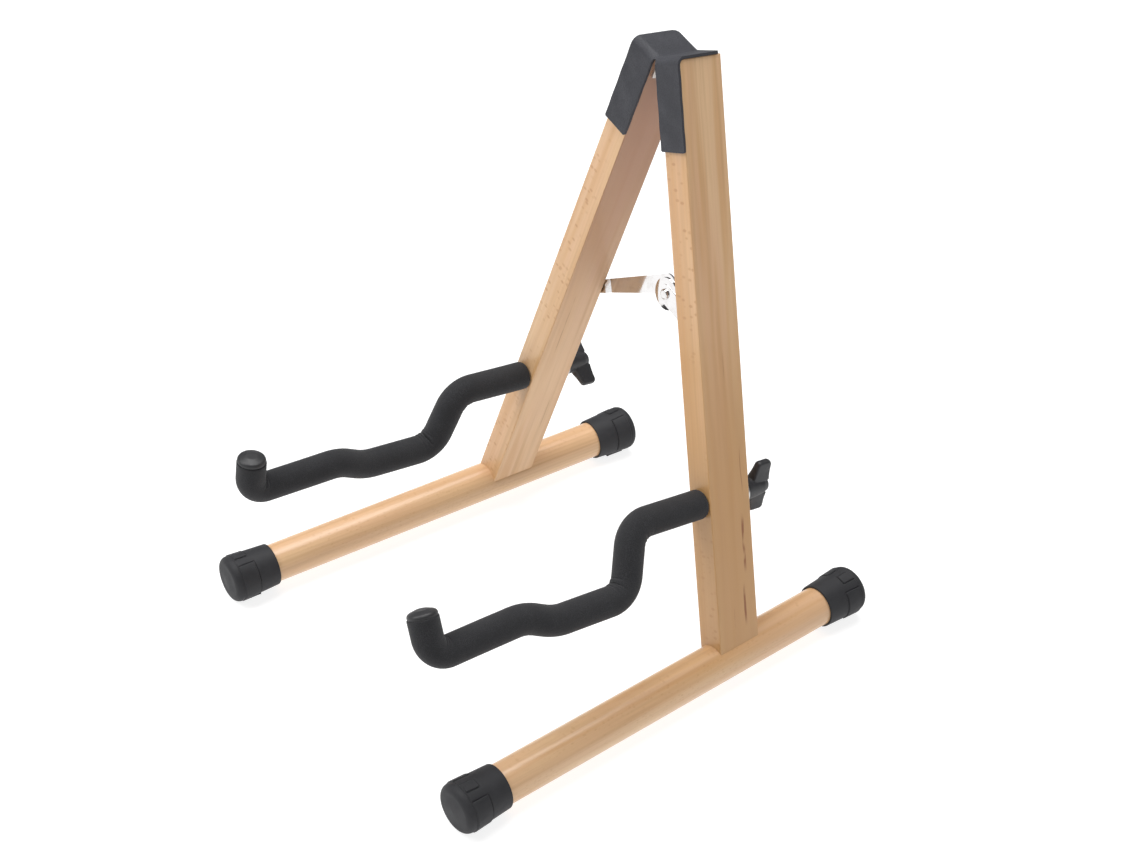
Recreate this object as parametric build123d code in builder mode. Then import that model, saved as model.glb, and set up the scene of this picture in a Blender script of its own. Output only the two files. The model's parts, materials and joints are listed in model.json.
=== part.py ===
"""Folding A-frame guitar stand: two uprights on round base bars, hinged at the top, with cradle arms.

Millimetres. +Z is up, the cradle arms point to -Y, and the origin is on the floor under the middle of the
stand. Each upright has its own frame: "out" is away from the other upright, "back" runs along the hinge
pin, and "up" runs from the base bar's axis along the upright.
"""

from build123d import *
from math import atan, cos, hypot, radians, sin, tan
import os

os.makedirs("parts", exist_ok=True)

SIDES = {"left": -1, "right": 1}

# ---------------------------------------------------------------- driving dimensions
half_spread = 17.70          # each upright leans this far from the middle, in degrees
lean_back = 7.34             # the whole A-frame leans back by this, in degrees

upright_width = 22.0
upright_depth = 37.0
upright_length = 432.8       # from the bar's axis to the square-cut top
arris_round = 0.8            # softened long edges
head_round = 3.5             # front top edge, where the pad wraps over

bar_diameter = 30.0
bar_front = 214.3            # bare bar ahead of the upright's centre line
bar_rear = 88.0              # bare bar behind it
bar_chamfer = 1.5

cap_wall = 1.8
cap_depth = 32.0             # how deep the bar goes into the cap
cap_length = 38.5
cap_flare = 2.3              # growth in radius from mouth to end
cap_end_round = 6.0          # length of the rounded shoulder
cap_dome = 1.2
sole_width = 13.0
sole_length = 16.0
sole_corner = 2.5
sole_stand = 0.2             # the sole stands this far proud of the flare's widest end
sole_setback = 1.5           # from the flare's widest end back to the sole
sole_cover = 0.5             # rubber left between the sole's block and the bar

pin_diameter = 2.6
knuckle_diameter = 5.6
pin_to_wood = 3.0            # from the pin's axis to each upright's inner face
pin_below_head = 3.4         # from the uprights' tops down to the pin
hinge_length = 30.0
leaf_reach = 13.5            # from the pin's axis to the leaf's free edge
leaf_thickness = 1.4
leaf_corner = 1.5
hinge_screw_diameter = 3.0
hinge_screw_length = 12.0
hinge_screw_head = 5.6
hinge_screw_spacing = 16.0
hinge_screw_inset = 4.6      # from the leaf's free edge

base_screw_diameter = 5.0
base_screw_length = 66.0
base_screw_head = 10.0
base_screw_recess = 1.0
slot_width = 1.2
slot_depth = 1.6

pad_thickness = 2.0
pad_width = 24.0
pad_drop = 63.8              # how far it comes down the front face
pad_back_gap = 0.8           # it stops this far short of the upright's back
pad_split = 0.35             # from the middle plane to each half
pad_overreach = 8.0          # cut back afterwards to the middle plane

stay_pivot_up = 204.6        # pivot's height on the upright
stay_rise = 30.0             # the centre joint stands this far above the pivots
stay_thickness = 1.5
stay_pivot_width = 9.4
stay_eye_width = 15.0
stay_head_width = 14.6       # the left link's head, cranked above its eye
stay_head_lift = 8.2         # from the eye's middle up to the head's
stay_disc_diameter = 24.6
stay_disc_dome = 0.9         # the disc's front falls back by this from its middle to its rim
stay_spacer = 1.0
stay_slip = 0.4              # between the two links at the centre joint
stay_joggle_start = 16.0     # from the pivot to the bend in the left link
stay_joggle_run = 5.0
pivot_screw_diameter = 4.0
pivot_screw_length = 18.0
pivot_screw_head = 8.5
pivot_screw_head_height = 2.4
rivet_diameter = 5.0
rivet_head = 8.0
rivet_head_height = 1.8

arm_height = 121.0           # shank's height on the upright
rod_diameter = 8.0
foam_diameter = 22.0
collar_diameter = 18.0
collar_thickness = 2.0
arm_swing = {"left": 11.8, "right": -9.6}   # how far each arm's plane is turned inwards, in degrees
shank_end = 22.0             # the rod reaches this far behind the wood
rod_short = 9.0              # the rod stops this far short of the foam's end
plug_stem = 6.0
plug_height = 5.2
plug_round = 4.4
plug_diameter = 21.0

# corners of the arm's centre line: ahead of the upright's face and above the shank, with a radius at each
arm_corners = [(0, 0), (63.4, 0), (79.5, -45.5), (140.5, -46.2), (164, -36.6), (238.5, -41.7), (239.3, -14)]
arm_radii = [20, 20, 45, 38, 13]

washer_diameter = 20.0
washer_thickness = 1.6
knob_base_diameter = 17.0
knob_top_diameter = 13.0
knob_length = 23.4
knob_span = 41.6             # over both wings
wing_root = 5.0              # the wings' front edge, behind the knob's base, at the hub's axis
wing_front = 11.2            # and at their tips
wing_rear = 23.6
wing_thickness = 6.2
wing_corner = 2.6
knob_turn = {"left": 62.6, "right": 20.7}  # angle of the wings from the upright's length, in degrees
insert_across_flats = 13.0
insert_thickness = 6.5
insert_recess = 0.8

running = 0.08               # radial gap of a pin or shank that turns in its hole
seat = 0.03                  # radial gap of a piece that is fixed in its hole
face_gap = 0.12              # between faces that slide on each other

# ---------------------------------------------------------------- worked-out sizes
spread, lean = radians(half_spread), radians(lean_back)
bar_radius = bar_diameter / 2
cap_mouth_radius = bar_radius + cap_wall
cap_end_radius = cap_mouth_radius + cap_flare
flare_length = cap_length - cap_end_round - cap_dome
bar_height = cap_end_radius + sole_stand
base_screw_start = base_screw_recess - bar_radius
base_screw_top = base_screw_start + base_screw_length
pin_up = upright_length - pin_below_head
pin_out = -(pin_to_wood + upright_width / 2)
half_bar_spacing = pin_up * sin(spread) - pin_out * cos(spread)
bar_tilt = atan(tan(lean) / cos(spread))    # the level bar's angle to "back", towards "up"

link_back = upright_depth / 2 + stay_spacer + face_gap          # front face of the right link
left_eye_back = link_back + stay_thickness + stay_slip          # front face of the left link's eye
pivot_screw_grip = pivot_screw_length - stay_spacer - stay_thickness - 2 * face_gap
pivot_across = half_bar_spacing - stay_pivot_up * sin(spread)

foam_start = face_gap + collar_thickness
foam_end = arm_corners[-1]
knob_back = upright_depth / 2 + washer_thickness + face_gap
knob_bore_depth = upright_depth / 2 + shank_end - knob_back + 0.5

arm_foot = arm_height * cos(spread) + foam_end[1] - arm_radii[-1]
front_reach = (upright_depth / 2 + foam_end[0] + foam_diameter / 2) * cos(lean) - arm_foot * sin(lean)
rear_reach = bar_rear + cap_length
upright_y = (front_reach - rear_reach) / 2

across = Vector(1, 0, 0)
back = Vector(0, cos(lean), -sin(lean))
rise = Vector(0, sin(lean), cos(lean))


def upright_axes(side):
    """The upright's own directions: across (towards +X), back and up."""
    up = across * (-side * sin(spread)) + rise * cos(spread)
    return across * cos(spread) + rise * (side * sin(spread)), back, up


def at(side, out=0.0, behind=0.0, above=0.0):
    """A point given in an upright's own frame."""
    sideways, backwards, up = upright_axes(side)
    foot = Vector(side * half_bar_spacing, upright_y, bar_height)
    return foot + sideways * (side * out) + backwards * behind + up * above


def level(side, out=0.0, behind=0.0, above=0.0):
    """A plane square across the upright: x across, y back, normal up."""
    sideways, _, up = upright_axes(side)
    return Plane(at(side, out, behind, above), x_dir=sideways, z_dir=up)


def facing_back(side, out=0.0, behind=0.0, above=0.0):
    """A plane parallel to the upright's back: normal back, y up."""
    sideways, backwards, _ = upright_axes(side)
    return Plane(at(side, out, behind, above), x_dir=-sideways, z_dir=backwards)


def facing_in(side, out=0.0, behind=0.0, above=0.0):
    """A plane parallel to the upright's inner face: normal inwards, y up."""
    sideways, backwards, _ = upright_axes(side)
    return Plane(at(side, out, behind, above), x_dir=backwards * -side, z_dir=sideways * -side)


def bar_direction(side):
    """The base bar's level direction, towards the back."""
    _, backwards, up = upright_axes(side)
    return (backwards * cos(bar_tilt) + up * sin(bar_tilt)).normalized()


def bar_plane(side, distance, outwards):
    """A plane square across the bar, normal along it: outwards is 1 to the back and -1 to the front."""
    direction = bar_direction(side)
    centre = at(side) + direction * distance
    return Plane(centre, x_dir=direction.cross(Vector(0, 0, 1)) * outwards, z_dir=direction * outwards)


def save(solid, name):
    """Label one sub-part and write its STEP file."""
    solid.label = name
    export_step(solid, f"parts/{name}.step")


def shaft(place, diameter, length, mode=Mode.ADD):
    """A round bar (or, subtracted, a hole) from a plane along its normal."""
    with BuildSketch(place) as section:
        Circle(diameter / 2)
    extrude(section.sketch, amount=length, mode=mode)


def turn(place, outline, mode=Mode.ADD):
    """Revolve (radius, height) points about a plane's normal."""
    with BuildSketch(Plane(place.origin, x_dir=place.x_dir, z_dir=-place.y_dir)) as section:
        with BuildLine():
            Polyline(*outline, close=True)
        make_face()
    revolve(section.sketch, axis=Axis(place.origin, place.z_dir), mode=mode)


def countersunk_screw(place, shank, head, length):
    """A countersunk screw, its head flush with the plane and its shank along the normal."""
    cone = (head - shank) / 2
    turn(place, [(0, 0), (head / 2, 0), (shank / 2, cone), (shank / 2, length), (0, length)])


def countersunk_hole(place, shank, head, length):
    """Cut the hole that a countersunk screw sits in, open above its head."""
    cone = (head - shank) / 2
    outer, inner = head / 2 + seat, shank / 2 + seat
    deep = length + seat
    turn(place, [(0, -head), (outer, -head), (outer, 0), (inner, cone), (inner, deep), (0, deep)], Mode.SUBTRACT)


# ---------------------------------------------------------------- wooden frame
def make_upright(name, side):
    """Square timber with a rounded head, coped over the bar and drilled for its screws and the arm."""
    sideways, backwards, up = upright_axes(side)
    with BuildPart() as upright:
        with BuildSketch(level(side)):
            Rectangle(upright_width, upright_depth)
        extrude(amount=upright_length)
        head_edges = upright.faces().sort_by(Axis(at(side), up))[-1].edges()
        fillet(head_edges.sort_by(Axis(at(side), backwards))[0], head_round)
        fillet(upright.edges().filter_by(Axis(at(side), up)), arris_round)
        shaft(bar_plane(side, -upright_depth, 1), bar_diameter + 2 * seat, 2 * upright_depth, Mode.SUBTRACT)
        shaft(level(side), base_screw_diameter + 2 * seat, base_screw_top + seat, Mode.SUBTRACT)
        shaft(facing_back(side, 0, -upright_depth, arm_height), rod_diameter + 2 * running,
              2 * upright_depth, Mode.SUBTRACT)
        shaft(facing_back(side, 0, upright_depth / 2 - pivot_screw_grip, stay_pivot_up),
              pivot_screw_diameter + 2 * seat, pivot_screw_length, Mode.SUBTRACT)
        for place in hinge_screw_places(side):
            countersunk_hole(place, hinge_screw_diameter, hinge_screw_head, hinge_screw_length)
    save(upright.part, f"upright_{name}")


def make_bar(name, side):
    """Round dowel with eased ends and a countersunk hole underneath for the long screw."""
    with BuildPart() as bar:
        shaft(bar_plane(side, -bar_front - cap_depth, 1), bar_diameter, bar_front + bar_rear + 2 * cap_depth)
        chamfer(bar.edges().filter_by(GeomType.CIRCLE), bar_chamfer)
        countersunk_hole(level(side, above=base_screw_start), base_screw_diameter, base_screw_head,
                         base_screw_length)
    save(bar.part, f"base_bar_{name}")


def make_base_screw(name, side):
    """Long countersunk screw, cross-slotted, from under the bar up into the upright."""
    place = level(side, above=base_screw_start)
    with BuildPart() as screw:
        countersunk_screw(place, base_screw_diameter, base_screw_head, base_screw_length)
        with BuildSketch(place):
            Rectangle(base_screw_head * 0.6, slot_width)
            Rectangle(slot_width, base_screw_head * 0.6)
        extrude(amount=slot_depth, mode=Mode.SUBTRACT)
    save(screw.part, f"base_screw_{name}")


def make_cap(name, side, end):
    """Moulded rubber cap turned about the bar, with a flat sole under its outer half."""
    place = bar_plane(side, -bar_front if end < 0 else bar_rear, end)
    radial = Plane(place.origin, x_dir=(0, 0, 1), z_dir=Vector(0, 0, 1).cross(place.z_dir))
    shoulder = (cap_end_radius - cap_end_round, cap_length - cap_dome)
    shoulder_middle = (shoulder[0] + cap_end_round * sin(radians(45)),
                       flare_length + cap_end_round * sin(radians(45)))
    inner_radius, inner_depth = bar_radius + seat, cap_depth + seat
    sole_middle = place.origin + place.z_dir * (flare_length - sole_setback - sole_length / 2)
    with BuildPart() as cap:
        with BuildSketch(radial):
            with BuildLine():
                Polyline((0, inner_depth), (inner_radius, inner_depth), (inner_radius, 0),
                         (cap_mouth_radius, 0), (cap_end_radius, flare_length))
                ThreePointArc((cap_end_radius, flare_length), shoulder_middle, shoulder)
                Polyline(shoulder, (0, cap_length), (0, inner_depth))
            make_face()
        revolve(axis=Axis(place.origin, place.z_dir))
        with BuildSketch(Plane((sole_middle.X, sole_middle.Y, 0), x_dir=place.x_dir, z_dir=(0, 0, 1))):
            RectangleRounded(sole_width, sole_length, sole_corner)
        extrude(amount=bar_height - bar_radius - seat - sole_cover)
    save(cap.part, f"{'front' if end < 0 else 'rear'}_cap_{name}")


# ---------------------------------------------------------------- hinge and pad at the top
def hinge_screw_places(side):
    """Planes of the hinge screws' heads, flush with the leaf, normals into the wood."""
    sideways, backwards, _ = upright_axes(side)
    height = pin_up - leaf_reach + hinge_screw_inset
    out = -upright_width / 2 - leaf_thickness
    return [
        Plane(at(side, out, behind, height), x_dir=backwards, z_dir=sideways * side)
        for behind in (-hinge_screw_spacing / 2, hinge_screw_spacing / 2)
    ]


def knuckle_spans(side):
    """Middle and length, along the pin, of one leaf's knuckles: the left leaf has the two outer ones."""
    third = hinge_length / 3
    length = third - face_gap
    if side > 0:
        return [(0, length)]
    return [(-third, length), (third, length)]


def make_hinge_leaf(name, side):
    """Flat leaf on the upright's inner face, rolled round the pin between the other leaf's knuckles."""
    pin_start = at(side, pin_out, -hinge_length, pin_up)
    notch = knuckle_diameter / 2 + 2 * running
    with BuildPart() as leaf:
        with BuildSketch(facing_in(side, -upright_width / 2, 0, pin_up)):
            with Locations((0, -(leaf_reach + notch) / 2)):
                RectangleRounded(hinge_length, leaf_reach - notch, leaf_corner)
        extrude(amount=leaf_thickness)
        for middle, length in knuckle_spans(side):
            with BuildSketch(facing_in(side, -upright_width / 2, middle, pin_up)):
                with Locations((0, -leaf_reach / 4)):
                    Rectangle(length, leaf_reach / 2)
            extrude(amount=leaf_thickness)
            shaft(Plane(at(side, pin_out, middle - length / 2, pin_up), x_dir=across, z_dir=back),
                  knuckle_diameter, length)
        shaft(Plane(pin_start, x_dir=across, z_dir=back), pin_diameter + 2 * (running if side > 0 else seat),
              2 * hinge_length, Mode.SUBTRACT)
        for place in hinge_screw_places(side):
            countersunk_hole(place, hinge_screw_diameter, hinge_screw_head, hinge_screw_length)
    save(leaf.part, f"hinge_leaf_{name}")


def make_hinge_screws(name, side):
    """The two countersunk wood screws of one leaf."""
    with BuildPart() as screws:
        for place in hinge_screw_places(side):
            countersunk_screw(place, hinge_screw_diameter, hinge_screw_head, hinge_screw_length)
    save(screws.part, f"hinge_screws_{name}")


def make_hinge_pin():
    """Plain pin through all the knuckles, along the back direction."""
    with BuildPart() as pin:
        shaft(Plane(at(-1, pin_out, -hinge_length / 2, pin_up), x_dir=across, z_dir=back),
              pin_diameter, hinge_length)
    save(pin.part, "hinge_pin")


def make_pad_half(name, side):
    """Half of the pad: down the front face, over the head, and inwards to the middle plane."""
    sideways, backwards, _ = upright_axes(side)
    profile = Plane(at(side), x_dir=backwards, z_dir=sideways)
    front, rear = -upright_depth / 2 - seat, upright_depth / 2 - pad_back_gap
    bottom, top = upright_length - pad_drop, upright_length + seat
    with BuildPart() as pad:
        with BuildSketch(profile):
            with Locations((rear, bottom)):
                Rectangle(rear - front + pad_thickness, top + pad_thickness - bottom, align=(Align.MAX, Align.MIN))
            fillet(front_top_corner(), head_round + pad_thickness)
        extrude(amount=pad_width / 2, both=True)
        with BuildSketch(profile.offset(-side * pad_width / 2)):
            with Locations((rear, top)):
                Rectangle(rear - front - head_round, pad_thickness, align=(Align.MAX, Align.MIN))
        extrude(amount=-side * pad_overreach)
        with BuildSketch(profile):
            with Locations((front, 0)):
                Rectangle(2 * upright_depth, top, align=(Align.MIN, Align.MIN))
            fillet(front_top_corner(), head_round + seat)
        extrude(amount=pad_width, both=True, mode=Mode.SUBTRACT)
        split(bisect_by=Plane((side * pad_split, 0, 0), z_dir=(side, 0, 0)), keep=Keep.TOP)
    save(pad.part, f"top_pad_{name}")


def front_top_corner():
    """The corner of the sketch that is being drawn which is furthest up and to the front."""
    return vertices().group_by(Axis.Y)[-1].sort_by(Axis.X)[0]


# ---------------------------------------------------------------- folding stay
def joint_plane(behind):
    """A plane square to the hinge pin through the stay's centre joint: x across, y up, normal forwards."""
    height = stay_pivot_up * cos(spread) + stay_rise
    centre = Vector(0, upright_y, bar_height) + rise * height + back * behind
    return Plane(centre, x_dir=across, z_dir=back * -1)


def make_stay_link(name, side):
    """Flat strip from its pivot to the centre joint; the left one is cranked, and joggled behind the right."""
    pivot = (side * pivot_across, -stay_rise)
    step = left_eye_back - link_back if side < 0 else 0
    thick = stay_thickness + step
    with BuildPart() as link:
        with BuildSketch(joint_plane(link_back)):
            with Locations(pivot):
                Circle(stay_pivot_width / 2)
            with Locations((0, stay_head_lift if side < 0 else 0)):
                Circle((stay_head_width if side < 0 else stay_eye_width) / 2)
            make_hull()
            Circle(stay_eye_width / 2)
        extrude(amount=-thick)
        if side > 0:
            domed_disc(joint_plane(link_back))
        else:
            joggle(pivot, step)
        with BuildSketch(joint_plane(link_back)):
            with Locations(pivot):
                Circle(pivot_screw_diameter / 2 + running)
            Circle(rivet_diameter / 2 + seat)
        extrude(amount=-thick, mode=Mode.SUBTRACT)
    save(link.part, f"stay_link_{name}")


def domed_disc(front):
    """The right link's large round eye: flat behind and gently domed in front."""
    radius = stay_disc_diameter / 2
    with BuildSketch(Plane(front.origin, x_dir=front.x_dir, z_dir=-front.y_dir)) as section:
        with BuildLine():
            ThreePointArc((0, 0), (radius / 2, -stay_disc_dome / 4), (radius, -stay_disc_dome))
            Polyline((radius, -stay_disc_dome), (radius, -stay_thickness), (0, -stay_thickness), (0, 0))
        make_face()
    revolve(section.sketch, axis=Axis(front.origin, front.z_dir))


def joggle(pivot, step):
    """Keep only a bent strip: flat at the pivot, stepped back by step, and flat again to the eye."""
    length = hypot(*pivot)
    base = joint_plane(link_back)
    along = (base.x_dir * -pivot[0] + base.y_dir * -pivot[1]).normalized()
    bend, eye_end = stay_joggle_start, length + stay_eye_width
    start = base.origin - along * length
    with BuildSketch(Plane(start, x_dir=along, z_dir=along.cross(back))) as outline:
        with BuildLine():
            Polyline((-stay_pivot_width, 0), (bend, 0), (bend + stay_joggle_run, step), (eye_end, step),
                     (eye_end, step + stay_thickness), (bend + stay_joggle_run, step + stay_thickness),
                     (bend, stay_thickness), (-stay_pivot_width, stay_thickness), close=True)
        make_face()
    extrude(outline.sketch, amount=2 * stay_eye_width, both=True, mode=Mode.INTERSECT)


def make_rivet_half(name, behind, toward):
    """One half of the centre rivet: a shank through its own link and a rounded head outside it."""
    plane = joint_plane(behind)
    with BuildPart() as rivet:
        shaft(Plane(plane.origin, x_dir=across, z_dir=back * -toward), rivet_diameter, stay_thickness)
        shaft(Plane(plane.origin, x_dir=across, z_dir=back * toward), rivet_head, rivet_head_height)
        fillet(rivet.faces().sort_by(Axis(plane.origin, back * toward))[-1].edges(), rivet_head_height * 0.7)
    save(rivet.part, f"stay_rivet_{name}")


def make_stay_spacer(name, side):
    """Washer that holds the link clear of the wood."""
    with BuildPart() as spacer:
        place = facing_back(side, 0, upright_depth / 2, stay_pivot_up)
        shaft(place, stay_pivot_width, stay_spacer)
        shaft(place, pivot_screw_diameter + 2 * seat, stay_spacer, Mode.SUBTRACT)
    save(spacer.part, f"stay_spacer_{name}")


def make_stay_screw(name, side):
    """Round-headed screw that the link turns on, fixed in the upright's back."""
    head = facing_back(side, 0, link_back + stay_thickness + face_gap, stay_pivot_up)
    with BuildPart() as screw:
        shaft(head, pivot_screw_head, pivot_screw_head_height)
        fillet(screw.faces().sort_by(Axis(head.origin, head.z_dir))[-1].edges(), pivot_screw_head_height * 0.8)
        with BuildSketch(head.offset(pivot_screw_head_height)):
            Rectangle(pivot_screw_head * 0.55, slot_width * 0.8)
            Rectangle(slot_width * 0.8, pivot_screw_head * 0.55)
        extrude(amount=-slot_depth * 0.8, mode=Mode.SUBTRACT)
        shaft(head, pivot_screw_diameter, -pivot_screw_length)
    save(screw.part, f"stay_screw_{name}")


# ---------------------------------------------------------------- cradle arms
def arm_plane(name, side):
    """The plane of the arm's centre line: origin where the shank leaves the wood, x forwards, y upwards."""
    sideways, backwards, up = upright_axes(side)
    turn_in = radians(arm_swing[name])
    upwards = up * cos(turn_in) + sideways * (side * sin(turn_in))
    forwards = backwards * -1
    return Plane(at(side, 0, -upright_depth / 2, arm_height), x_dir=forwards, z_dir=forwards.cross(upwards))


def run_along(plane, points, radii, outer, inner=0.0):
    """Sweep a round bar, or a tube, along straight runs joined by arcs."""
    with BuildLine(plane) as path:
        FilletPolyline(*points, radius=radii)
    line = path.line
    with BuildSketch(Plane(line @ 0, z_dir=line % 0)) as section:
        Circle(outer / 2)
        if inner:
            Circle(inner / 2, mode=Mode.SUBTRACT)
    sweep(section.sketch, path=line)


def make_arm(name, side):
    """Bent steel rod with a welded collar, the foam sleeve over it and the domed plug at its tip."""
    plane = arm_plane(name, side)
    corners = arm_corners[1:-1]
    last, end = Vector(*corners[-1]), Vector(*foam_end)
    direction = (end - last).normalized()
    rod_end = end - direction * rod_short
    rod_start = (-upright_depth - shank_end, 0)
    with BuildPart() as rod:
        run_along(plane, [rod_start, *corners, (rod_end.X, rod_end.Y)], arm_radii, rod_diameter)
    save(rod.part, f"arm_rod_{name}")

    shank = Plane(plane.origin, x_dir=plane.y_dir, z_dir=plane.x_dir)
    with BuildPart() as collar:
        shaft(shank.offset(face_gap), collar_diameter, collar_thickness)
        shaft(shank, rod_diameter + 2 * seat, foam_start, Mode.SUBTRACT)
    save(collar.part, f"arm_collar_{name}")

    with BuildPart() as foam:
        run_along(plane, [(foam_start, 0), *corners, foam_end], arm_radii, foam_diameter, rod_diameter + 2 * seat)
    save(foam.part, f"foam_sleeve_{name}")

    tip_normal = plane.x_dir * direction.X + plane.y_dir * direction.Y
    tip = Plane(plane.from_local_coords(end), x_dir=plane.z_dir, z_dir=tip_normal)
    with BuildPart() as plug:
        shaft(tip, plug_diameter, plug_height)
        fillet(plug.faces().sort_by(Axis(tip.origin, tip_normal))[-1].edges(), plug_round)
        shaft(tip, rod_diameter, -plug_stem)
    save(plug.part, f"tip_plug_{name}")


def make_rear_washer(name, side):
    """Steel washer between the upright's back and the wing nut."""
    with BuildPart() as washer:
        place = facing_back(side, 0, upright_depth / 2, arm_height)
        shaft(place, washer_diameter, washer_thickness)
        shaft(place, rod_diameter + 2 * running, washer_thickness, Mode.SUBTRACT)
    save(washer.part, f"rear_washer_{name}")


def make_wing_nut(name, side):
    """Moulded wing nut with two flat wings, and the hex nut set into its base."""
    sideways, backwards, up = upright_axes(side)
    base = facing_back(side, 0, knob_back, arm_height)
    turned = radians(knob_turn[name])
    wing_line = up * cos(turned) + sideways * (side * sin(turned))
    wing_plane = Plane(base.origin, x_dir=wing_line, z_dir=wing_line.cross(backwards))
    with BuildPart() as nut:
        tip = knob_span / 2
        with BuildSketch(wing_plane) as wings:
            with BuildLine():
                Polyline((-tip, wing_front), (0, wing_root), (tip, wing_front), (tip, wing_rear),
                         (-tip, wing_rear), close=True)
            make_face()
            fillet([corner for corner in vertices() if abs(corner.X) > tip / 2], wing_corner)
        extrude(wings.sketch, amount=wing_thickness / 2, both=True)
        fillet(nut.faces().filter_by(Axis(base.origin, wing_plane.z_dir)).edges(), wing_thickness * 0.3)
        turn(base, [(0, 0), (knob_base_diameter / 2, 0), (knob_base_diameter / 2, 2),
                    (knob_top_diameter / 2, knob_length - 4), (knob_top_diameter / 3, knob_length),
                    (0, knob_length)])
        shaft(base, rod_diameter + 2 * running, knob_bore_depth, Mode.SUBTRACT)
        with BuildSketch(base):
            RegularPolygon(insert_across_flats / 2 + seat, 6, major_radius=False)
        extrude(amount=insert_recess + insert_thickness + seat, mode=Mode.SUBTRACT)
    save(nut.part, f"wing_nut_{name}")

    with BuildPart() as insert:
        with BuildSketch(base.offset(insert_recess)):
            RegularPolygon(insert_across_flats / 2, 6, major_radius=False)
            Circle(rod_diameter / 2 + running, mode=Mode.SUBTRACT)
        extrude(amount=insert_thickness)
    save(insert.part, f"wing_nut_insert_{name}")


# ---------------------------------------------------------------- the whole stand
for name, side in SIDES.items():
    make_upright(name, side)
    make_bar(name, side)
    make_base_screw(name, side)
    for end in (-1, 1):
        make_cap(name, side, end)
    make_hinge_leaf(name, side)
    make_hinge_screws(name, side)
    make_pad_half(name, side)
    make_stay_link(name, side)
    make_stay_spacer(name, side)
    make_stay_screw(name, side)
    make_arm(name, side)
    make_rear_washer(name, side)
    make_wing_nut(name, side)
make_hinge_pin()
make_rivet_half("front", link_back, -1)
make_rivet_half("rear", left_eye_back + stay_thickness, 1)
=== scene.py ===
import bpy
import json
import numpy as np
from math import atan, cos, pi, radians, sin, tan
from mathutils import Matrix, Vector


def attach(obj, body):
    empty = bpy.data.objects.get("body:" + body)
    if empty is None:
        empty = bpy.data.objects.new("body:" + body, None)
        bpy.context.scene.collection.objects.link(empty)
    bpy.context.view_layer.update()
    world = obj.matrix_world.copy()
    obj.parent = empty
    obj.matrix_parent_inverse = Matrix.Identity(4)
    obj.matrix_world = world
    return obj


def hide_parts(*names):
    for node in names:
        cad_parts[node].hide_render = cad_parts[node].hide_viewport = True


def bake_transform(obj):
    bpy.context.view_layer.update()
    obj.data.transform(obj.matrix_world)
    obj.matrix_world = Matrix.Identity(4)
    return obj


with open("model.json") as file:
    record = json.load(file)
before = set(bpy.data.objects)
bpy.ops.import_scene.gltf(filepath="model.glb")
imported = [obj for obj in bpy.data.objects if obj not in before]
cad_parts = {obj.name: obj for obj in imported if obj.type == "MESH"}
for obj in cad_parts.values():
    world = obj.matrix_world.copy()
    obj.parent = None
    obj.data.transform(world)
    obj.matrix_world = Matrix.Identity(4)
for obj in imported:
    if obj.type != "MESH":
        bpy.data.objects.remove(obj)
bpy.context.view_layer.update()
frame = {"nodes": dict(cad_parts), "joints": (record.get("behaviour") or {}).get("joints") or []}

# ---------------------------------------------------------------- studio
# A wide pale floor that glows a little, under three large soft boxes in a dim room: one in front to the
# left, a weak one on the right and a strong one overhead. The camera looks down on the stand from the front
# right.
camera_place = (0.9527, -0.6922, 0.95635)
camera_azimuth, camera_elevation = radians(53.0), radians(33.8)
camera_lens = 62.04
floor_size = 12.0
floor_glow = 0.84                             # a lit white sweep, which leaves only faint shadows
room_strength = 0.21                          # of the white room all round
light_target = (0, 0, 0.2)
soft_boxes = [
    # name, place, size, strength in watts
    ("key", (-1.0, -1.8, 2.4), 1.8, 46.0),
    ("fill", (2.6, 0.2, 1.7), 1.8, 1.5),
    ("top", (-0.3, 0.35, 2.9), 2.2, 74.0),
]

scene = bpy.context.scene
scene.view_settings.view_transform = "Standard"
scene.world = bpy.data.worlds.new("room")
scene.world.use_nodes = True
scene.world.node_tree.nodes["Background"].inputs["Color"].default_value = (1, 1, 1, 1)
scene.world.node_tree.nodes["Background"].inputs["Strength"].default_value = room_strength

for name, place, size, watts in soft_boxes:
    light = bpy.data.lights.new(name, "AREA")
    light.shape, light.size, light.energy = "DISK", size, watts
    holder = bpy.data.objects.new(name, light)
    holder.location = place
    holder.rotation_mode = "QUATERNION"
    holder.rotation_quaternion = (Vector(light_target) - Vector(place)).to_track_quat("-Z", "Y")
    scene.collection.objects.link(holder)

camera = bpy.data.cameras.new("camera")
camera.lens, camera.sensor_width = camera_lens, 36.0
camera.clip_start, camera.clip_end = 0.01, 50.0
scene.camera = bpy.data.objects.new("camera", camera)
towards_camera = Vector((sin(camera_azimuth) * cos(camera_elevation),
                         -cos(camera_azimuth) * cos(camera_elevation), sin(camera_elevation)))
scene.camera.location = camera_place
scene.camera.rotation_mode = "QUATERNION"
scene.camera.rotation_quaternion = (-towards_camera).to_track_quat("-Z", "Y")
scene.collection.objects.link(scene.camera)


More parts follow.
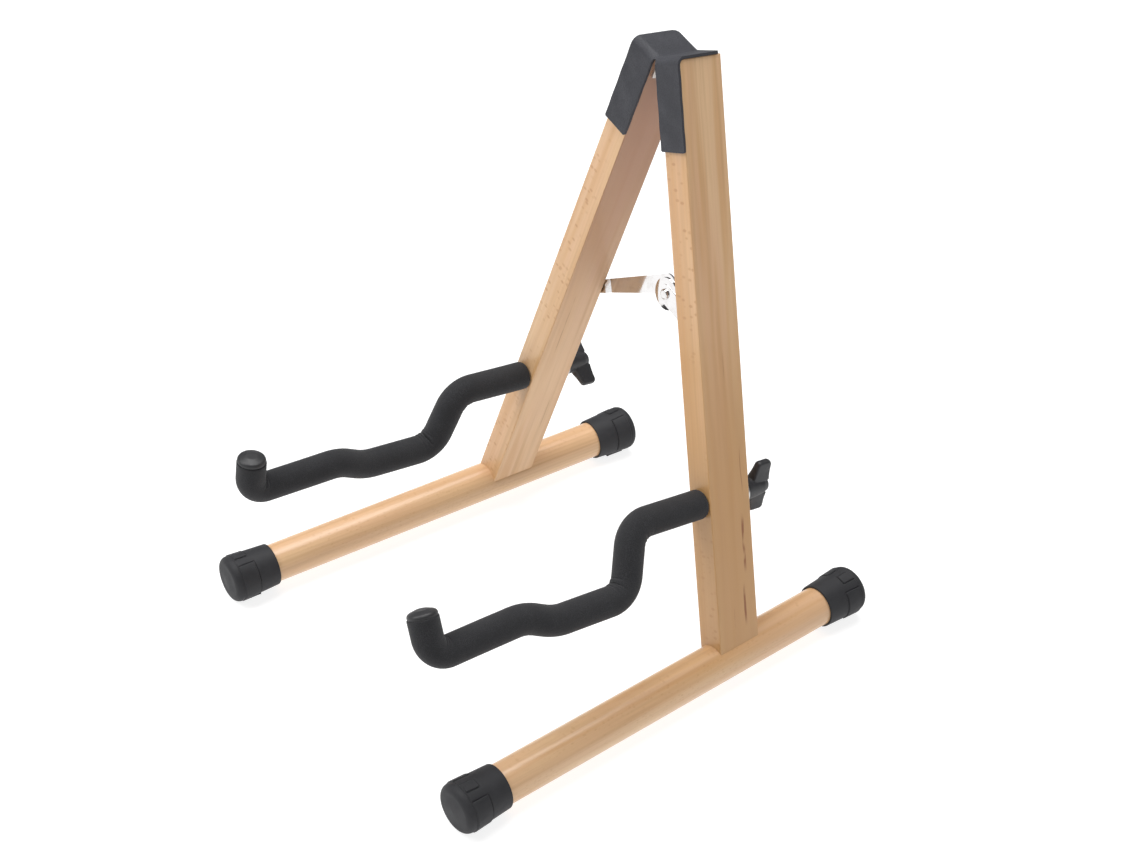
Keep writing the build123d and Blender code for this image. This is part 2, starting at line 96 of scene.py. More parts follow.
class Value:
    """One output socket of a node tree. Arithmetic on it adds Math nodes and gives their output."""

    def __init__(self, finish, socket):
        self.finish, self.socket = finish, socket

    def math(self, operation, first, second=0.5, third=0.5):
        return self.finish.node("ShaderNodeMath", {"operation": operation}, {0: first, 1: second, 2: third})

    def __add__(self, other):
        return self.math("ADD", self, other)

    __radd__ = __add__

    def __mul__(self, other):
        return self.math("MULTIPLY", self, other)

    def __sub__(self, other):
        return self.math("SUBTRACT", self, other)

    def __rsub__(self, other):
        return self.math("SUBTRACT", other, self)

    def __truediv__(self, other):
        return self.math("DIVIDE", self, other)

    def __pow__(self, other):
        return self.math("POWER", self, other)

    def sine(self):
        return self.math("SINE", self)

    def between(self, low, high):
        """0 at low, 1 at high, and smooth between; low may be the larger."""
        settings = {"interpolation_type": "SMOOTHSTEP"}
        return self.finish.node("ShaderNodeMapRange", settings, {"Value": self, 1: low, 2: high})


class Finish:
    """A Principled material that is put together from nodes."""

    def __init__(self, name, **constants):
        self.material = bpy.data.materials.new(name)
        self.material.use_nodes = True
        self.tree = self.material.node_tree
        self.shader = self.tree.nodes["Principled BSDF"]
        for socket, number in constants.items():
            self.input(socket).default_value = number
        self.place = self.node("ShaderNodeTexCoord", output="Object")

    def input(self, words):
        """The shader's input that is named by words joined with underscores."""
        return self.shader.inputs[words.replace("_", " ").title().replace("Ior", "IOR")]

    def node(self, kind, settings=None, inputs=None, output=0):
        """Add a node: its settings first (a ramp's stops too), then the values or links of its inputs."""
        node = self.tree.nodes.new(kind)
        for setting, choice in (settings or {}).items():
            if setting == "stops":
                ramp = node.color_ramp.elements
                while len(ramp) < len(choice):
                    ramp.new(0.5)
                for stop, (position, colour) in zip(ramp, choice):
                    stop.position, stop.color = position, (*colour, 1)
            else:
                setattr(node, setting, choice)
        for socket, source in (inputs or {}).items():
            if isinstance(source, Value):
                self.tree.links.new(source.socket, node.inputs[socket])
            else:
                node.inputs[socket].default_value = source
        return Value(self, node.outputs[output])

    def scaled(self, vector, x, y, z):
        """A vector with each of its parts multiplied."""
        return self.node("ShaderNodeVectorMath", {"operation": "MULTIPLY"}, {0: vector, 1: (x, y, z)})

    def noise(self, vector, scale=1.0, detail=2.0, rough=0.5):
        return self.node("ShaderNodeTexNoise", {},
                         {"Vector": vector, "Scale": scale, "Detail": detail, "Roughness": rough})

    def mix(self, factor, first, second, how="MIX"):
        """A colour between two colours; a plain colour is given as three numbers."""
        first, second = (c if isinstance(c, Value) else (*c, 1) for c in (first, second))
        return self.node("ShaderNodeMix", {"data_type": "RGBA", "blend_type": how},
                         {0: factor, 6: first, 7: second}, output=2)

    def feed(self, **sources):
        """Link values to the shader's inputs by name."""
        for socket, source in sources.items():
            self.tree.links.new(source.socket, self.input(socket))

    def bump(self, height, distance, strength=1.0):
        """Turn a height of 0 to 1 into a bumped normal, and feed it to the shader."""
        self.feed(Normal=self.node("ShaderNodeBump", {},
                                   {"Strength": strength, "Distance": distance, "Height": height}))


floor_half = floor_size / 2
floor_mesh = bpy.data.meshes.new("floor")
floor_mesh.from_pydata([(-floor_half, -floor_half, 0), (floor_half, -floor_half, 0),
                        (floor_half, floor_half, 0), (-floor_half, floor_half, 0)], [], [(0, 1, 2, 3)])
floor = bpy.data.objects.new("floor", floor_mesh)
scene.collection.objects.link(floor)
floor_finish = Finish("pale_floor", roughness=0.9, specular_ior_level=0.1, emission_strength=floor_glow)
floor_finish.input("emission_color").default_value = (1, 1, 1, 1)
floor_tint = floor_finish.noise(floor_finish.place, 3.0)
floor_finish.feed(Base_Color=floor_finish.mix(floor_tint, (0.36, 0.36, 0.36), (0.39, 0.39, 0.39)))
floor_mesh.materials.append(floor_finish.material)


# ---------------------------------------------------------------- uprights
# Two square-cut beech posts, planed, with eased arrises, and coped at the foot to sit over the bars.
# They are glued and screwed to the bars and finished with a satin lacquer.
MM = 0.001
SIDES = {"left": -1, "right": 1}
spread, lean = radians(17.70), radians(7.34)
upright_width, upright_depth, upright_length = 22 * MM, 37 * MM, 432.8 * MM
arm_height = 121 * MM
joint_at = {joint["name"]: Vector(joint["pos_m"]) for joint in frame["joints"]}

back = Vector((0, cos(lean), -sin(lean)))
rise = Vector((0, sin(lean), cos(lean)))


def upright_axes(side):
    """An upright's own directions: across (towards +X), back, and up along the timber."""
    across = Vector((cos(spread), 0, 0)) + rise * (side * sin(spread))
    up = Vector((-side * sin(spread), 0, 0)) + rise * cos(spread)
    return across, back, up


def at(name, out=0.0, behind=0.0, above=0.0):
    """A point in an upright's own frame, from the base bar's axis: the arm's joint is on the front face."""
    side = SIDES[name]
    across, _, up = upright_axes(side)
    return (joint_at[f"arm_{name}_turn"] + across * (side * out) + back * (behind + upright_depth / 2)
            + up * (above - arm_height))


def turned_to(axes):
    """The Euler angles that turn X, Y and Z to three directions."""
    return tuple(Matrix(axes).transposed().to_euler())


def beech(name, origin, axes, pith, seed, side_face, front_rays=1.0, low_tint=0.0,
          warmth=1.0, painted_inner_shade=0.0, streaks=(), gloss=0.36):
    """Lacquered beech whose grain runs along the third of three directions through a point.

    The growth rings are cylinders about a pith that lies off the timber, wavy along the grain. Rays are
    small flat lenses standing in the radial direction: dashes on one face and flakes on the next.
    Flecks show on the faces that lie square to a side face, which is side_face from the middle. Painted shade
    darkens one side face towards the top, the one on the side of its sign, where the uprights shade each
    other.
    Dark streaks are thin lines along the grain: from and to what height, how far back, how wide and how
    strong.
    """
    wood = Finish(name, roughness=gloss, coat_weight=0.22, coat_roughness=0.16, specular_ior_level=0.45)
    local = wood.node("ShaderNodeMapping", {"vector_type": "TEXTURE"},
                      {"Vector": wood.place, "Location": tuple(origin), "Rotation": turned_to(axes)})
    shift = (seed, seed * 0.7, seed * 1.3)
    shifted = wood.node("ShaderNodeVectorMath", {"operation": "ADD"}, {0: local, 1: shift})
    parts = wood.node("ShaderNodeSeparateXYZ", {}, {0: local})
    x, y, z = parts, Value(wood, parts.socket.node.outputs[1]), Value(wood, parts.socket.node.outputs[2])

    sway = wood.noise(wood.scaled(shifted, 14, 14, 2.6), 1.0, 1.0) - 0.5
    from_pith = ((x - pith[0]) ** 2 + (y - pith[1]) ** 2) ** 0.5 + sway * 0.011
    rings = ((from_pith * (2 * pi / 0.0031)).sine() * 0.5 + 0.5) ** 2.2
    broad = wood.noise(wood.scaled(shifted, 26, 26, 3.2), 1.0, 2.0)
    fibres = wood.noise(wood.scaled(shifted, 900, 900, 22), 1.0, 3.0, 0.6)
    bands = wood.noise(wood.scaled(shifted, 210, 210, 5), 1.0, 2.0, 0.55)

    cells = wood.node("ShaderNodeTexVoronoi", {"feature": "F1"},
                      {"Vector": wood.scaled(shifted, 150, 760, 260), "Scale": 1.0}, output="Distance")
    chance = Value(wood, cells.socket.node.outputs["Color"])
    chosen = wood.node("ShaderNodeSeparateColor", {}, {0: chance}).between(0.26, 0.5)
    patchy = wood.noise(wood.scaled(shifted, 40, 40, 14), 1.0, 1.0).between(0.32, 0.56)
    off_side_faces = (x * x).between(side_face ** 2, (side_face - MM) ** 2)
    flecks = cells.between(0.40, 0.16) * chosen * patchy * off_side_faces

    pale, honey, pink = (0.770, 0.520, 0.300), (0.670, 0.400, 0.190), (0.700, 0.420, 0.245)
    orange = wood.noise(wood.scaled(shifted, 85, 85, 4.5), 1.0, 2.0, 0.6).between(0.46, 0.66)
    colour = wood.mix(broad.between(0.3, 0.7) * warmth, pale, honey)
    colour = wood.mix(wood.noise(wood.scaled(shifted, 60, 60, 7)).between(0.35, 0.7) * 0.6, colour, pink)
    colour = wood.mix(orange * (0.55 * warmth), colour, (0.600, 0.318, 0.120))
    colour = wood.mix(rings * broad.between(0.35, 0.65) * 0.26, colour, (0.545, 0.310, 0.150))
    colour = wood.mix(bands.between(0.50, 0.74) * 0.34, colour, (0.500, 0.275, 0.125))
    colour = wood.mix(fibres.between(0.35, 0.75) * 0.22, colour, (0.560, 0.350, 0.205))
    colour = wood.mix(flecks * (0.62 * front_rays), colour, (0.470, 0.225, 0.088))
    # painted shade: the inner side face darkens towards the top, where the two uprights shade each other
    if painted_inner_shade:
        inside = (x * (1 if painted_inner_shade > 0 else -1)).between(side_face - 0.6 * MM, side_face - 0.1 * MM)
        colour = wood.mix(z.between(0.12, 0.40) * inside * abs(painted_inner_shade), colour, (0.300, 0.122, 0.062))
    if low_tint:
        colour = wood.mix(z.between(0.30, 0.10) * low_tint, colour, (0.500, 0.258, 0.080))
    wander = (wood.noise(wood.scaled(shifted, 30, 30, 30)) - 0.5) * 0.0022
    for low, high, across_at, wide, strength in streaks:
        beside = (y + wander - across_at) / wide
        along = z.between(low, low + 0.012) * z.between(high, high - 0.012)
        broken = wood.noise(wood.scaled(shifted, 90, 90, 45)).between(0.34, 0.52)
        colour = wood.mix((beside * beside).between(1.0, 0.1) * along * broken * strength, colour,
                          (0.300, 0.105, 0.030))
    wood.feed(Base_Color=colour, Roughness=fibres * 0.10 + (gloss - 0.04))
    wood.bump(fibres * 0.6 + rings * 0.25 + flecks * -0.3, 0.00006)
    return wood.material


upright_looks = {
    # pith in the timber's own frame, and what else each timber shows
    # the inner faces of both uprights carry painted shade towards the top
    "left": dict(pith=(0.16, -0.020), seed=3.1, low_tint=0.12, painted_inner_shade=0.75,
                 streaks=[(0.150, 0.215, -0.006, 0.0006, 0.45), (0.060, 0.105, 0.009, 0.0005, 0.4)]),
    "right": dict(pith=(-0.13, 0.034), seed=7.4, low_tint=0.65, painted_inner_shade=-0.75,
                  streaks=[(0.062, 0.110, 0.0100, 0.0015, 1.0), (0.022, 0.058, 0.0074, 0.0013, 1.0),
                           (0.022, 0.042, -0.0030, 0.0006, 0.5), (0.120, 0.160, 0.0118, 0.0006, 0.5),
                           (0.205, 0.232, 0.0020, 0.0005, 0.35)]),
}
for name, side in SIDES.items():
    wood = beech(f"beech_upright_{name}", at(name), upright_axes(side), side_face=upright_width / 2,
                 **upright_looks[name])
    frame["nodes"][f"upright_{name}"].data.materials[0] = wood


# ---------------------------------------------------------------- base bars
# Two turned beech dowels on which the uprights stand. The same lacquer as on the uprights shines along
# them in long highlights.
bar_diameter, bar_front, bar_rear = 30 * MM, 214.3 * MM, 88.0 * MM
bar_tilt = atan(tan(lean) / cos(spread))
bar_warmth = {"left": 0.25, "right": 1.0}      # the left-hand dowel is the paler one


def bar_axes(side):
    """A bar's own directions: sideways, up, and the level direction along it towards the back."""
    _, backwards, up = upright_axes(side)
    along = (backwards * cos(bar_tilt) + up * sin(bar_tilt)).normalized()
    return along.cross(Vector((0, 0, 1))) * -1, Vector((0, 0, 1)), along


for name, side in SIDES.items():
    wood = beech(f"beech_bar_{name}", at(name), bar_axes(side), pith=(0.024 * side, -0.030), seed=11.3 + side,
                 side_face=bar_diameter, front_rays=0.35, warmth=bar_warmth[name], gloss=0.30)
    frame["nodes"][f"base_bar_{name}"].data.materials[0] = wood


# ---------------------------------------------------------------- end caps
# Four moulded rubber caps pushed over the ends of the bars. Each flares towards its domed end and has
# raised gripping blocks round its outer half and a flat sole underneath, all cast in one piece.
cap_inside = [(0, 32), (9, 32), (14.6, 32), (15.03, 31.5), (15.03, 20), (15.03, 10), (15.03, 3)]
cap_outline = [(15.03, 1.4), (15.3, 0), (16.7, 0), (18.45, 31.0), (18.05, 31.35), (18.3, 32.0), (18.25, 37.3),
               (0, 38.5)]
cap_rounding = [0.3, 0.6, 0.2, 0.15, 0.25, 5.1]
cap_block_height = 0.6
cap_blocks = [
    # middle and half width, in degrees from straight up towards the outer side; first and last depth
    (10.5, 11.5, 20.5, 30.7), (93.5, 46.5, 18.0, 30.7), (-72.5, 46.5, 18.0, 30.7),
]
cap_groove_depth, cap_groove_degrees, cap_groove_width = 0.45, 2.8, 0.8      # cast round each block
sole_half_width, sole_from, sole_to = 6.5, 13.8, 29.8


def ease(value, low, high):
    """0 at low, 1 at high, and the smooth cubic 3t^2 - 2t^3 between."""
    share = np.clip((value - low) / (high - low), 0, 1)
    return share * share * (3 - 2 * share)


def window(value, low, high, edge):
    """1 between low and high, falling smoothly to 0 over an edge centred on each."""
    return ease(value, low - edge / 2, low + edge / 2) * (1 - ease(value, high - edge / 2, high + edge / 2))


def rounded_line(corners, radii, step):
    """Points a step apart along straight runs joined by arcs.

    An arc of radius r touches both runs at r tan(turn / 2) from the corner. Along it the two end radii are
    blended by sin((1 - t) turn) and sin(t turn), which keeps their length.
    """
    corners = [np.array(corner, float) for corner in corners]
    points = [corners[0][None]]
    for before, corner, after, radius in zip(corners, corners[1:], corners[2:], radii):
        into = (corner - before) / np.linalg.norm(corner - before)
        onwards = (after - corner) / np.linalg.norm(after - corner)
        turn = np.arccos(np.clip(into @ onwards, -1, 1))
        reach = radius * np.tan(turn / 2)
        inwards = (onwards - into) / np.linalg.norm(onwards - into)
        middle = corner + inwards * np.hypot(radius, reach)
        first, last = corner - into * reach - middle, corner + onwards * reach - middle
        share = np.linspace(0, 1, 24)[:, None]
        arc = (np.sin((1 - share) * turn) * first + np.sin(share * turn) * last) / np.sin(turn)
        points.append(middle + arc)
    points = np.concatenate([*points, corners[-1][None]])
    length = np.concatenate([[0], np.cumsum(np.linalg.norm(np.diff(points, axis=0), axis=1))])
    even = np.linspace(0, length[-1], int(length[-1] / step) + 1)
    return np.stack([np.interp(even, length, column) for column in points.T], axis=1)


def make_mesh(name, points, faces, finish, sharp=40):
    """A smooth mesh object at the origin, its faces turned so that the volume under them is positive."""
    corners = points[np.array([face[:3] for face in faces])]
    if np.einsum("ij,ij->i", corners[:, 0], np.cross(corners[:, 1], corners[:, 2])).sum() < 0:
        faces = [face[::-1] for face in faces]
    mesh = bpy.data.meshes.new(name)
    mesh.from_pydata(points.tolist(), [], faces)
    mesh.shade_smooth()
    mesh.set_sharp_from_angle(angle=radians(sharp))
    mesh.materials.append(finish)
    piece = bpy.data.objects.new(name, mesh)
    scene.collection.objects.link(piece)
    return piece


def ring_faces(rings, around, start=0):
    """Quads between neighbouring rings, and a fan to one more point inside the first ring and the last."""
    index = np.arange(rings * around).reshape(rings, around) + start
    beside = np.roll(index, -1, axis=1)
    quads = np.stack([index[:-1], beside[:-1], beside[1:], index[1:]], axis=-1).reshape(-1, 4)
    first, last = start + rings * around, start + rings * around + 1
    fans = [np.stack([beside[0], index[0], np.full(around, first)], axis=-1),
            np.stack([index[-1], beside[-1], np.full(around, last)], axis=-1)]
    return quads.tolist() + np.concatenate(fans).tolist()


def ring_points(rings):
    """The points of a stack of rings (ring, point, xyz), with the middles of the first and the last added."""
    return np.concatenate([rings.reshape(-1, 3), rings[0].mean(0)[None], rings[-1].mean(0)[None]])


def turned(outline, centre, axis, upright, around):
    """Rings about an axis: each point of the outline is a ring's radius and its distance along the axis."""
    angle = np.linspace(0, 2 * pi, around, endpoint=False)[:, None]
    axis, upright = np.array(axis), np.array(upright)
    ring = np.cos(angle) * upright + np.sin(angle) * np.cross(axis, upright)
    radius, along = np.asarray(outline).T[:, :, None, None]
    return np.array(centre) + radius * ring + along * axis


def rubber():
    """Charcoal rubber, matt, with a fine moulded grain and faint dusty patches."""
    skin = Finish("rubber", specular_ior_level=0.35)
    grain = skin.noise(skin.place, 2600.0, 3.0)
    dust = skin.noise(skin.place, 90.0, 3.0, 0.6).between(0.42, 0.72)
    colour = skin.mix(dust * 0.5, (0.022, 0.022, 0.025), (0.040, 0.040, 0.044))
    skin.feed(Base_Color=skin.mix(grain * 0.3, colour, (0.040, 0.040, 0.043)), Roughness=0.60 + dust * 0.14)
    skin.bump(grain + dust * 0.4, 0.00005)
    return skin.material


rubber_finish = rubber()
outline = np.concatenate([cap_inside, rounded_line(cap_outline, cap_rounding, 0.25)])
cap_around = 288
for name, side in SIDES.items():
    along_bar = bar_axes(side)[2]
    for end, which, distance in ((-1, "front", -bar_front), (1, "rear", bar_rear)):
        axis = along_bar * end
        centre = at(name) + along_bar * distance
        outwards = Vector((side, 0, 0))
        rings = turned(outline * MM, centre, axis, (0, 0, 1), cap_around)
        from_axis = rings - np.array(centre)
        turn = np.degrees(np.arctan2(from_axis @ np.array(outwards), from_axis[..., 2]))
        depth = np.repeat(outline[:, 1:], cap_around, axis=1)
        outside = (np.arange(len(outline)) >= len(cap_inside))[:, None]
        raised = np.zeros_like(depth)
        for middle, half, low, high in cap_blocks:
            away = (turn - middle + 180) % 360 - 180
            block = window(away, -half, half, 1.6) * window(depth, low, high, 0.5)
            wider = window(away, -half - cap_groove_degrees, half + cap_groove_degrees, 1.6)
            moat = wider * window(depth, low - cap_groove_width, high, 0.5) * (1 - block)
            raised += block * cap_block_height - moat * cap_groove_depth
        radial = from_axis - (from_axis @ np.array(axis))[..., None] * np.array(axis)
        reach = np.linalg.norm(radial, axis=-1, keepdims=True)
        rings += radial / np.maximum(reach, 1e-9) * (raised * outside * MM)[..., None]
        across = np.abs(from_axis @ np.array(axis.cross(Vector((0, 0, 1)))))
        sole = (1 - ease(across, (sole_half_width - 0.2) * MM, (sole_half_width + 0.2) * MM)) * outside
        sole = sole * window(depth, sole_from, sole_to, 0.5) * (from_axis[..., 2] < 0)
        rings[..., 2] *= 1 - sole
        cap = make_mesh(f"{which}_rubber_cap_{name}", ring_points(rings), ring_faces(*rings.shape[:2]),
                        rubber_finish)
        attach(cap, f"{name}_frame")
        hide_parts(f"{which}_cap_{name}")


# ---------------------------------------------------------------- screws, hinge and washers
# Bright zinc-plated steel: the long screws under the bars, the small butt hinge with its pin and screws,
# the arms' rods and collars, the washers behind the wood and the nuts moulded into the wing nuts.
def zinc():
    """Zinc-plated steel, with a soft cloudy sheen and fine scratches."""
    steel = Finish("zinc_steel", metallic=1.0)
    cloud = steel.noise(steel.place, 160.0, 3.0, 0.6)
    scratch = steel.noise(steel.scaled(steel.place, 2400, 300, 300), 1.0, 2.0)
    steel.feed(Base_Color=steel.mix(cloud, (0.50, 0.49, 0.47), (0.66, 0.65, 0.63)),
               Roughness=0.20 + cloud * 0.16 + scratch * 0.08)
    steel.bump(scratch, 0.00002)
    return steel.material


zinc_finish = zinc()
steel_nodes = ["hinge_pin"] + [
    f"{piece}_{name}" for name in SIDES
    for piece in ("base_screw", "hinge_leaf", "hinge_screws", "arm_rod", "arm_collar", "rear_washer",
                  "wing_nut_insert")]
for node in steel_nodes:
    frame["nodes"][node].data.materials[0] = zinc_finish


# ---------------------------------------------------------------- folding stay
# Two flat links that meet at a riveted joint behind the uprights, polished and chrome-plated. Each turns
# on a round-headed screw with a spacer under it.
def chrome():
    """Bright chrome with a few polishing marks and finger smears."""
    plate = Finish("chrome", metallic=1.0)
    smear = plate.noise(plate.place, 120.0, 3.0, 0.65).between(0.4, 0.8)
    marks = plate.noise(plate.scaled(plate.place, 260, 2600, 2600), 1.0, 2.0)
    plate.feed(Base_Color=plate.mix(smear, (0.72, 0.71, 0.71), (0.62, 0.60, 0.59)),
               Roughness=0.05 + smear * 0.07 + marks * 0.02)
    plate.bump(marks, 0.000004)
    return plate.material


chrome_finish = chrome()
for node in ("stay_link_left", "stay_link_right", "stay_rivet_front", "stay_rivet_rear", "stay_spacer_left",
             "stay_spacer_right", "stay_screw_left", "stay_screw_right"):
    frame["nodes"][node].data.materials[0] = chrome_finish


# ---------------------------------------------------------------- top pad
# One sheet of thick imitation leather, glued over both heads: a flap down the front of each upright, and
# between them, on top, it dips into the valley over the hinge.
pad_width, pad_thickness, pad_drop = 24 * MM, 2.0 * MM, 63.8 * MM
pad_rear = upright_depth / 2 - 0.8 * MM
pad_lift = pad_thickness / 2 + 0.08 * MM      # the sheet's middle layer above the wood
pad_head_round = 4.6 * MM
pad_corner_length = 6 * MM                    # how far from its edge a flap's outline starts to round
ripple_height, ripple_down, ripple_across = 0.12 * MM, 310, 260
pad_corner, pad_rear_corner = 0.9 * MM, 4.5 * MM
pad_askew = 1.7 * MM                          # glued on so much further down the left-hand upright
valley_round = 1.1 * MM
pad_step = 1.0 * MM


def leather():
    """Charcoal imitation leather: pebbled grain, a dull sheen, and paler where it is rubbed."""
    hide = Finish("pad_leather", specular_ior_level=0.42)
    pebbles = hide.node("ShaderNodeTexVoronoi", {"feature": "SMOOTH_F1"},
                        {"Vector": hide.place, "Scale": 1250.0, "Smoothness": 0.35}, output="Distance")
    fine = hide.noise(hide.place, 3200.0, 2.0)
    rubbed = hide.noise(hide.place, 55.0, 3.0, 0.6)
    colour = hide.mix(rubbed.between(0.35, 0.75), (0.036, 0.037, 0.046), (0.056, 0.057, 0.068))
    hide.feed(Base_Color=hide.mix(pebbles * 0.6, colour, (0.030, 0.030, 0.034)),
              Roughness=0.50 + pebbles * 0.16 + rubbed * 0.10)
    hide.bump(0.9 - pebbles + fine * 0.3, 0.00010)
    return hide.material


def corner_rounding(outs, radius):
    """How far a rounded corner draws the sheet's edge in: radius - sqrt(radius^2 - past^2)."""
    past = np.clip(np.abs(outs) - pad_width / 2 + radius, 0, radius)
    return radius - np.sqrt(radius ** 2 - past ** 2)


line = rounded_line([(-upright_depth / 2 - pad_lift, -pad_drop), (-upright_depth / 2 - pad_lift, pad_lift),
                     (pad_rear, pad_lift)], [pad_head_round], pad_step)
columns = int(pad_width / pad_step) + 1
outs = np.linspace(pad_width / 2, -pad_width / 2, columns)
halves = []
for name, side in SIDES.items():
    across, backwards, up = (np.array(direction) for direction in upright_axes(side))
    behind, above = line.T[:, :, None] + np.zeros(columns)
    at_bottom = 1 - ease(above, -pad_drop, -pad_drop + pad_corner_length)
    at_rear = ease(behind, pad_rear - pad_corner_length, pad_rear)
    outer_only = outs > 0
    above = above + corner_rounding(outs, pad_corner) * at_bottom
    above = above + side * pad_askew * np.clip(-above / pad_drop, 0, 1)
    behind = behind - corner_rounding(outs, pad_rear_corner) * outer_only * at_rear
    half = (np.array(at(name, above=upright_length)) + outs[None, :, None] * side * across
            + behind[..., None] * backwards + above[..., None] * up)
    on_top = ease(line[:, 1], -6 * MM, 0)[:, None]
    x = half[..., 0]
    raised = (np.sqrt(x ** 2 + valley_round ** 2) - np.abs(x)) * tan(spread) * on_top
    wrinkle = 1 + np.sin(line[:, None, 1] * ripple_down + outs * ripple_across * side)
    ripple = ripple_height * wrinkle * (1 - on_top)
    half += raised[..., None] * np.array(rise) - ripple[..., None] * backwards
    halves.append(half)
sheet_points = np.concatenate([halves[0], halves[1][:, ::-1]], axis=1)
index = np.arange(sheet_points.shape[0] * sheet_points.shape[1]).reshape(sheet_points.shape[:2])
cells = np.stack([index[:-1, :-1], index[:-1, 1:], index[1:, 1:], index[1:, :-1]], axis=-1)
joined = line[:-1, 1] > -1.6 * MM             # the notch between the flaps ends just under the front edge
kept = np.ones(cells.shape[:2], bool)
kept[:, columns - 1] = joined
pad = make_mesh("top_pad", sheet_points.reshape(-1, 3), cells[kept].tolist(), leather(), sharp=50)
thicken = pad.modifiers.new("thickness", "SOLIDIFY")
thicken.thickness, thicken.offset, thicken.use_even_offset = pad_thickness, 0.0, True
ease_edges = pad.modifiers.new("soft_edges", "BEVEL")
ease_edges.width, ease_edges.segments, ease_edges.limit_method = 0.5 * MM, 3, "ANGLE"
ease_edges.angle_limit = radians(50)
made = bpy.data.meshes.new_from_object(pad.evaluated_get(bpy.context.evaluated_depsgraph_get()))
pad.modifiers.clear()
pad.data = made
made.name = "top_pad"
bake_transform(pad)
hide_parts("top_pad_left", "top_pad_right")


# ---------------------------------------------------------------- cradle arms
# Each arm is a bent steel rod in a black foam tube. The tube is pushed up to the wood over the welded
# collar, wrinkles a little inside its bends, and is closed at the tip by a domed plastic plug.
foam_radius = 11.0
foam_wood_gap = 0.35
foam_end_length, foam_end_radius = 3.2, 9.3   # how the tube rounds in towards the wood
foam_tip_length, foam_tip_drop = 1.0, 0.7
crease_depth, crease_spacing, tightest_bend = 0.45, 5.2, 20.0
arm_corners = [(foam_wood_gap, 0), (63.4, 0), (79.5, -45.5), (140.5, -46.2), (164, -36.6), (238.5, -41.7),
               (239.3, -14)]
arm_radii = [20, 20, 45, 38, 13]
arm_swing = {"left": radians(11.8), "right": radians(-9.6)}
foam_around, foam_step = 96, 0.6
fold_depth, fold_width = 1.5, 1.1             # the one deep fold inside each tight bend
bumpiness, bump_length, bump_twist = 0.10, 23, 40      # the tube isn't perfectly round

plug_outline = [(4.0, -6.0), (4.0, -0.1), (9.9, -0.1), (10.3, 0.15), (10.5, 1.2), (10.2, 3.2), (4.5, 5.2),
                (0, 5.2)]
plug_rounding = [0.3, 0.1, 0.2, 0.8, 2.6, 3.5]


def arm_axes(name):
    """An arm's plane: forwards, upwards (turned inwards about the shank) and the direction square to both."""
    side = SIDES[name]
    across, backwards, up = upright_axes(side)
    upwards = up * cos(arm_swing[name]) + across * (side * sin(arm_swing[name]))
    return backwards * -1, upwards, (backwards * -1).cross(upwards)


def foam():
    """Closed-cell black foam: dead matt, with fine pores and soft uneven patches."""
    sponge = Finish("foam", specular_ior_level=0.22, sheen_weight=0.10, sheen_roughness=0.6)
    pores = sponge.node("ShaderNodeTexVoronoi", {"feature": "F1"},
                        {"Vector": sponge.place, "Scale": 2100.0}, output="Distance")
    patch = sponge.noise(sponge.place, 70.0, 3.0, 0.6)
    colour = sponge.mix(patch.between(0.3, 0.75), (0.031, 0.031, 0.034), (0.050, 0.050, 0.054))
    sponge.feed(Base_Color=sponge.mix(pores.between(0.25, 0.75) * 0.5, (0.014, 0.014, 0.016), colour),
                Roughness=0.74 + patch * 0.18)
    sponge.bump(pores * 0.8 + patch * 0.4, 0.00009)
    return sponge.material


def hard_plastic(name, roughness, colour):
    """Moulded black plastic with a satin, slightly orange-peel skin and rubbed high spots."""
    plastic = Finish(name, specular_ior_level=0.5)
    peel = plastic.noise(plastic.place, 900.0, 2.0)
    worn = plastic.noise(plastic.place, 150.0, 3.0, 0.6).between(0.45, 0.8)
    plastic.feed(Base_Color=plastic.mix(worn * 0.5, colour, tuple(part * 1.7 for part in colour)),
                 Roughness=roughness + peel * 0.10 + worn * 0.08)
    plastic.bump(peel, 0.00006)
    return plastic.material


